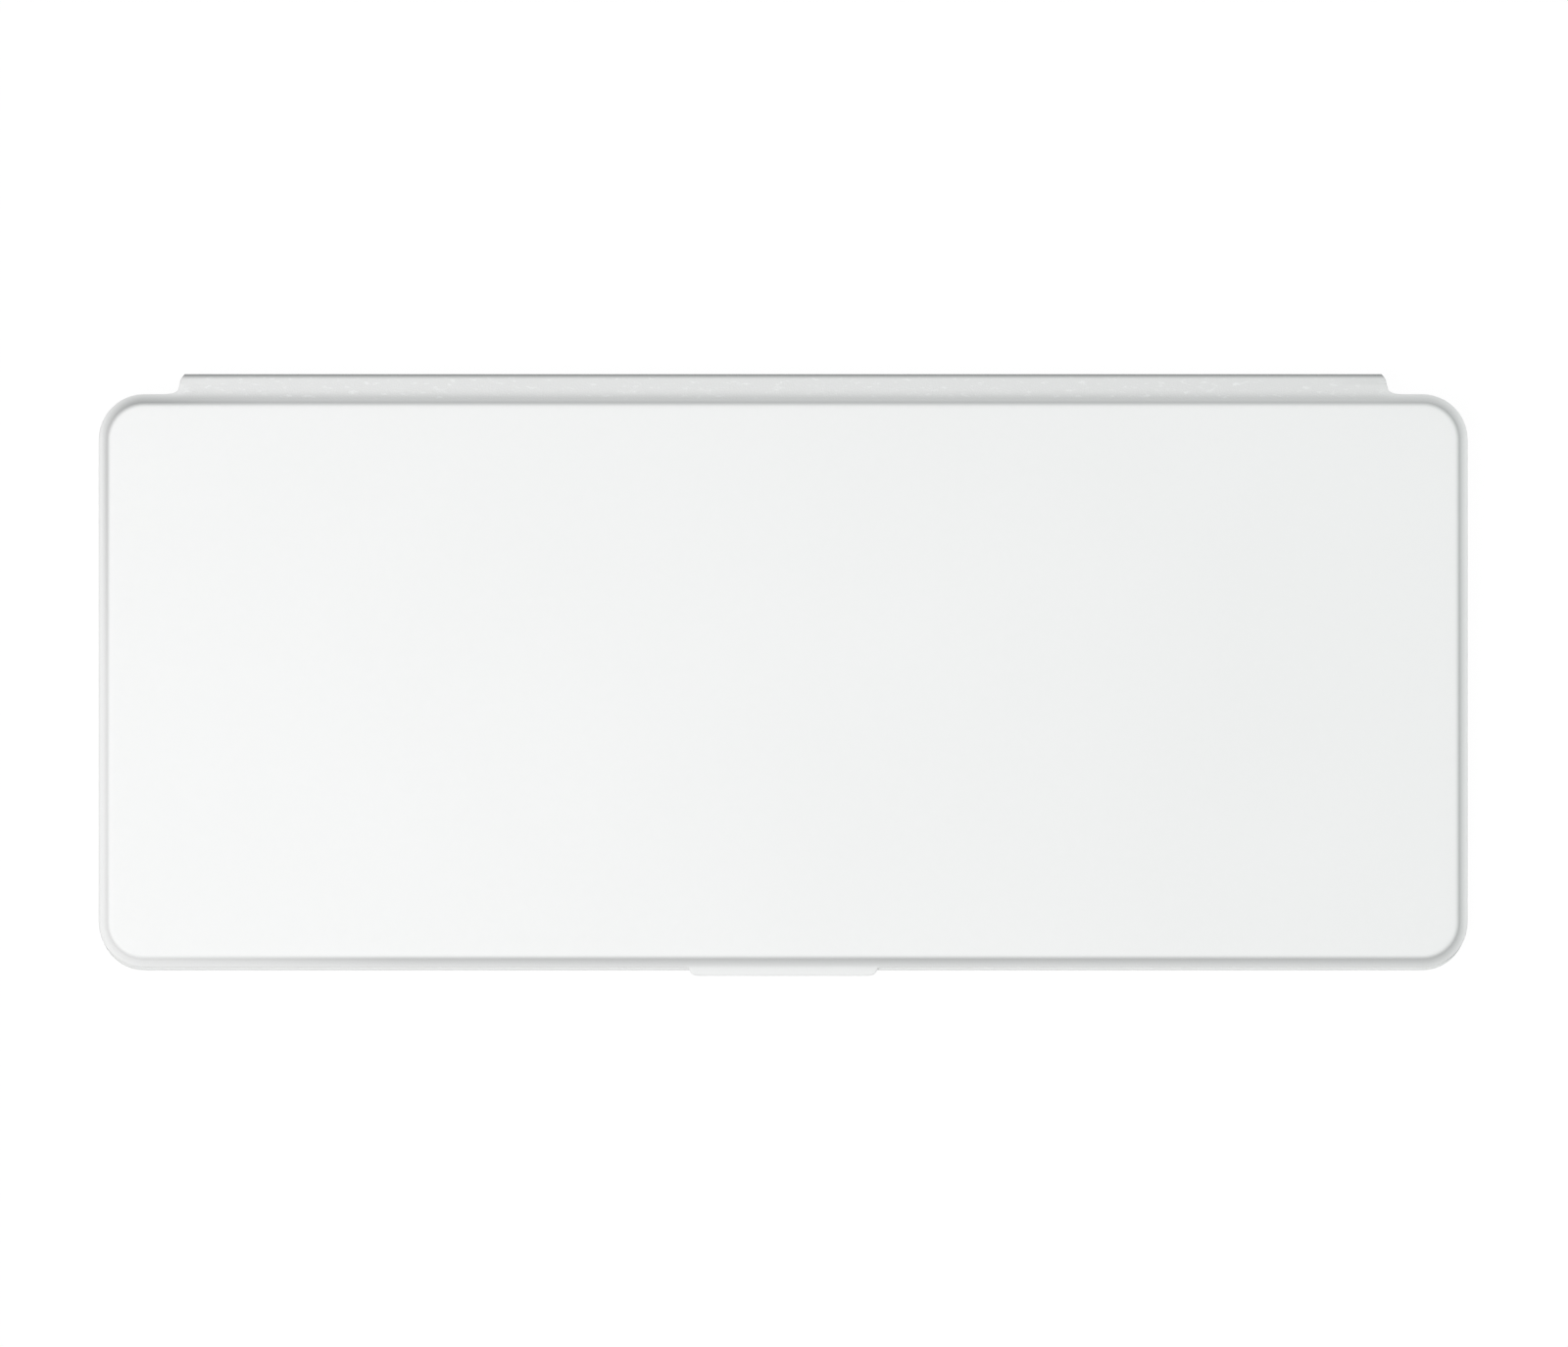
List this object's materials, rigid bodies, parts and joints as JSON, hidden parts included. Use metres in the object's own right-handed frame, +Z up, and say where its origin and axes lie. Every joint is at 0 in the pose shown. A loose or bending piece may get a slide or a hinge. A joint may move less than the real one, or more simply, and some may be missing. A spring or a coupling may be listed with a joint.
{
  "type": "wireless keyboard",
  "caption": "Slim wireless tablet keyboard, closed under a soft folding cover on a fabric spine, with travelling keys, a coin-cell bay, a power slide and rubber feet.",
  "frame": {"origin": "on the table, below the middle of the closed keyboard's bounding box", "axes": "+X to the typist's right, +Y to the hinge at the back, +Z up"},
  "size_m": [0.2508, 0.1104, 0.01],
  "materials": {
    "cover_coating": "soft matte coating with a fine grain",
    "cover_lining": "matte microfibre",
    "stiffener_board": "plain sheet",
    "hinge_coating": "matte coating with a fine grain",
    "case_plastic": "fine matte texture",
    "deck_plastic": "fine matte texture",
    "steel_sheet": "plain cold-rolled sheet",
    "membrane_film": "clear film, three layers",
    "dome_rubber": "soft translucent rubber",
    "scissor_plastic": "smooth moulded",
    "wire_steel": "bright drawn wire",
    "circuit_board": "solder mask",
    "component_black": "moulded packages",
    "light_guide": "clear moulded",
    "switch_plastic": "smooth moulded",
    "cell_steel": "nickel-plated steel",
    "contact_spring": "spring strip",
    "screw_steel": "zinc-plated",
    "foot_rubber": "matte non-slip",
    "magnet_plating": "nickel-plated",
    "key_plastic": "fine matte, with a soft sheen"
  },
  "bodies": {
    "base": {"battery_contacts": "contact_spring", "board_components": "component_black", "bottom_case": "case_plastic", "case_screws": "screw_steel", "closure_magnets": "magnet_plating", "coin_cells": "cell_steel", "deck_frame": "deck_plastic", "hinge_anchor_strip": "hinge_coating", "key_support_plate": "steel_sheet", "key_web": "deck_plastic", "main_board": "circuit_board", "membrane_sheet": "membrane_film", "rubber_domes": "dome_rubber", "rubber_feet": "foot_rubber", "scissor_inner_frames": "scissor_plastic", "scissor_outer_frames": "scissor_plastic", "stabiliser_bars": "wire_steel", "status_light_pipe": "light_guide"},
    "hinge_spine": {"hinge_spine": "hinge_coating", "spine_stiffener": "stiffener_board"},
    "hinge_top": {"hinge_top_strip": "hinge_coating"},
    "cover": {"cover_skin": "cover_coating", "cover_stiffener": "stiffener_board", "cover_lining": "cover_lining", "cover_closure_plates": "steel_sheet"},
    "battery_door": {"battery_door": "case_plastic", "battery_door_screws": "screw_steel"},
    "power_switch": {"power_switch_knob": "switch_plastic"},
    "key_a": {"key_a": "key_plastic"},
    "key_b": {"key_b": "key_plastic"},
    "key_c": {"key_c": "key_plastic"},
    "key_d": {"key_d": "key_plastic"},
    "key_e": {"key_e": "key_plastic"},
    "key_f": {"key_f": "key_plastic"},
    "key_g": {"key_g": "key_plastic"},
    "key_h": {"key_h": "key_plastic"},
    "key_i": {"key_i": "key_plastic"},
    "key_j": {"key_j": "key_plastic"},
    "key_k": {"key_k": "key_plastic"},
    "key_l": {"key_l": "key_plastic"},
    "key_m": {"key_m": "key_plastic"},
    "key_n": {"key_n": "key_plastic"},
    "key_o": {"key_o": "key_plastic"},
    "key_p": {"key_p": "key_plastic"},
    "key_q": {"key_q": "key_plastic"},
    "key_r": {"key_r": "key_plastic"},
    "key_s": {"key_s": "key_plastic"},
    "key_t": {"key_t": "key_plastic"},
    "key_u": {"key_u": "key_plastic"},
    "key_v": {"key_v": "key_plastic"},
    "key_w": {"key_w": "key_plastic"},
    "key_x": {"key_x": "key_plastic"},
    "key_y": {"key_y": "key_plastic"},
    "key_z": {"key_z": "key_plastic"},
    "key_space": {"key_space": "key_plastic"},
    "number_keys": {"number_keys": "key_plastic"},
    "symbol_keys": {"symbol_keys": "key_plastic"},
    "function_keys": {"function_keys": "key_plastic"},
    "modifier_keys": {"modifier_keys": "key_plastic"},
    "arrow_keys": {"arrow_keys": "key_plastic"}
  },
  "joints": [
    {"name": "cover_spine_fold", "type": "hinge", "parent": "base", "child": "hinge_spine", "pos_m": [0, 0.05523, 0.00199], "axis": [-1, 0, 0], "range_deg": [0, 88.59]},
    {"name": "cover_strip_fold", "type": "hinge", "parent": "hinge_spine", "child": "hinge_top", "pos_m": [0, 0.05483, 0.00972], "axis": [-1, 0, 0], "range_deg": [0, 164.35]},
    {"name": "cover_fold", "type": "hinge", "parent": "hinge_top", "child": "cover", "pos_m": [0, 0.05113, 0.00953], "axis": [-1, 0, 0], "range_deg": [0, 110]},
    {"name": "battery_door_removal", "type": "slide", "parent": "base", "child": "battery_door", "axis": [0, -0.0512, 0.9987], "range_m": [-0.006, 0]},
    {"name": "power_switch_slide", "type": "slide", "parent": "base", "child": "power_switch", "axis": [0, 0.9987, 0.0512], "range_m": [0, 0.002]},
    {"name": "key_a_press", "type": "slide", "parent": "base", "child": "key_a", "axis": [0, 0.0512, -0.9987], "range_m": [0, 0.001], "stiffness_N_per_m": 500, "springref_m": -0.0005},
    {"name": "key_b_press", "type": "slide", "parent": "base", "child": "key_b", "axis": [0, 0.0512, -0.9987], "range_m": [0, 0.001], "stiffness_N_per_m": 500, "springref_m": -0.0005},
    {"name": "key_c_press", "type": "slide", "parent": "base", "child": "key_c", "axis": [0, 0.0512, -0.9987], "range_m": [0, 0.001], "stiffness_N_per_m": 500, "springref_m": -0.0005},
    {"name": "key_d_press", "type": "slide", "parent": "base", "child": "key_d", "axis": [0, 0.0512, -0.9987], "range_m": [0, 0.001], "stiffness_N_per_m": 500, "springref_m": -0.0005},
    {"name": "key_e_press", "type": "slide", "parent": "base", "child": "key_e", "axis": [0, 0.0512, -0.9987], "range_m": [0, 0.001], "stiffness_N_per_m": 500, "springref_m": -0.0005},
    {"name": "key_f_press", "type": "slide", "parent": "base", "child": "key_f", "axis": [0, 0.0512, -0.9987], "range_m": [0, 0.001], "stiffness_N_per_m": 500, "springref_m": -0.0005},
    {"name": "key_g_press", "type": "slide", "parent": "base", "child": "key_g", "axis": [0, 0.0512, -0.9987], "range_m": [0, 0.001], "stiffness_N_per_m": 500, "springref_m": -0.0005},
    {"name": "key_h_press", "type": "slide", "parent": "base", "child": "key_h", "axis": [0, 0.0512, -0.9987], "range_m": [0, 0.001], "stiffness_N_per_m": 500, "springref_m": -0.0005},
    {"name": "key_i_press", "type": "slide", "parent": "base", "child": "key_i", "axis": [0, 0.0512, -0.9987], "range_m": [0, 0.001], "stiffness_N_per_m": 500, "springref_m": -0.0005},
    {"name": "key_j_press", "type": "slide", "parent": "base", "child": "key_j", "axis": [0, 0.0512, -0.9987], "range_m": [0, 0.001], "stiffness_N_per_m": 500, "springref_m": -0.0005},
    {"name": "key_k_press", "type": "slide", "parent": "base", "child": "key_k", "axis": [0, 0.0512, -0.9987], "range_m": [0, 0.001], "stiffness_N_per_m": 500, "springref_m": -0.0005},
    {"name": "key_l_press", "type": "slide", "parent": "base", "child": "key_l", "axis": [0, 0.0512, -0.9987], "range_m": [0, 0.001], "stiffness_N_per_m": 500, "springref_m": -0.0005},
    {"name": "key_m_press", "type": "slide", "parent": "base", "child": "key_m", "axis": [0, 0.0512, -0.9987], "range_m": [0, 0.001], "stiffness_N_per_m": 500, "springref_m": -0.0005},
    {"name": "key_n_press", "type": "slide", "parent": "base", "child": "key_n", "axis": [0, 0.0512, -0.9987], "range_m": [0, 0.001], "stiffness_N_per_m": 500, "springref_m": -0.0005},
    {"name": "key_o_press", "type": "slide", "parent": "base", "child": "key_o", "axis": [0, 0.0512, -0.9987], "range_m": [0, 0.001], "stiffness_N_per_m": 500, "springref_m": -0.0005},
    {"name": "key_p_press", "type": "slide", "parent": "base", "child": "key_p", "axis": [0, 0.0512, -0.9987], "range_m": [0, 0.001], "stiffness_N_per_m": 500, "springref_m": -0.0005},
    {"name": "key_q_press", "type": "slide", "parent": "base", "child": "key_q", "axis": [0, 0.0512, -0.9987], "range_m": [0, 0.001], "stiffness_N_per_m": 500, "springref_m": -0.0005},
    {"name": "key_r_press", "type": "slide", "parent": "base", "child": "key_r", "axis": [0, 0.0512, -0.9987], "range_m": [0, 0.001], "stiffness_N_per_m": 500, "springref_m": -0.0005},
    {"name": "key_s_press", "type": "slide", "parent": "base", "child": "key_s", "axis": [0, 0.0512, -0.9987], "range_m": [0, 0.001], "stiffness_N_per_m": 500, "springref_m": -0.0005},
    {"name": "key_t_press", "type": "slide", "parent": "base", "child": "key_t", "axis": [0, 0.0512, -0.9987], "range_m": [0, 0.001], "stiffness_N_per_m": 500, "springref_m": -0.0005},
    {"name": "key_u_press", "type": "slide", "parent": "base", "child": "key_u", "axis": [0, 0.0512, -0.9987], "range_m": [0, 0.001], "stiffness_N_per_m": 500, "springref_m": -0.0005},
    {"name": "key_v_press", "type": "slide", "parent": "base", "child": "key_v", "axis": [0, 0.0512, -0.9987], "range_m": [0, 0.001], "stiffness_N_per_m": 500, "springref_m": -0.0005},
    {"name": "key_w_press", "type": "slide", "parent": "base", "child": "key_w", "axis": [0, 0.0512, -0.9987], "range_m": [0, 0.001], "stiffness_N_per_m": 500, "springref_m": -0.0005},
    {"name": "key_x_press", "type": "slide", "parent": "base", "child": "key_x", "axis": [0, 0.0512, -0.9987], "range_m": [0, 0.001], "stiffness_N_per_m": 500, "springref_m": -0.0005},
    {"name": "key_y_press", "type": "slide", "parent": "base", "child": "key_y", "axis": [0, 0.0512, -0.9987], "range_m": [0, 0.001], "stiffness_N_per_m": 500, "springref_m": -0.0005},
    {"name": "key_z_press", "type": "slide", "parent": "base", "child": "key_z", "axis": [0, 0.0512, -0.9987], "range_m": [0, 0.001], "stiffness_N_per_m": 500, "springref_m": -0.0005},
    {"name": "key_space_press", "type": "slide", "parent": "base", "child": "key_space", "axis": [0, 0.0512, -0.9987], "range_m": [0, 0.001], "stiffness_N_per_m": 500, "springref_m": -0.0005, "deforming": ["scissor_outer_frames", "scissor_inner_frames", "rubber_domes", "stabiliser_bars"]},
    {"name": "number_keys_press", "type": "slide", "parent": "base", "child": "number_keys", "axis": [0, 0.0512, -0.9987], "range_m": [0, 0.001], "stiffness_N_per_m": 500, "springref_m": -0.0005},
    {"name": "symbol_keys_press", "type": "slide", "parent": "base", "child": "symbol_keys", "axis": [0, 0.0512, -0.9987], "range_m": [0, 0.001], "stiffness_N_per_m": 500, "springref_m": -0.0005},
    {"name": "function_keys_press", "type": "slide", "parent": "base", "child": "function_keys", "axis": [0, 0.0512, -0.9987], "range_m": [0, 0.001], "stiffness_N_per_m": 500, "springref_m": -0.0005},
    {"name": "modifier_keys_press", "type": "slide", "parent": "base", "child": "modifier_keys", "axis": [0, 0.0512, -0.9987], "range_m": [0, 0.001], "stiffness_N_per_m": 500, "springref_m": -0.0005},
    {"name": "arrow_keys_press", "type": "slide", "parent": "base", "child": "arrow_keys", "axis": [0, 0.0512, -0.9987], "range_m": [0, 0.001], "stiffness_N_per_m": 500, "springref_m": -0.0005}
  ]
}
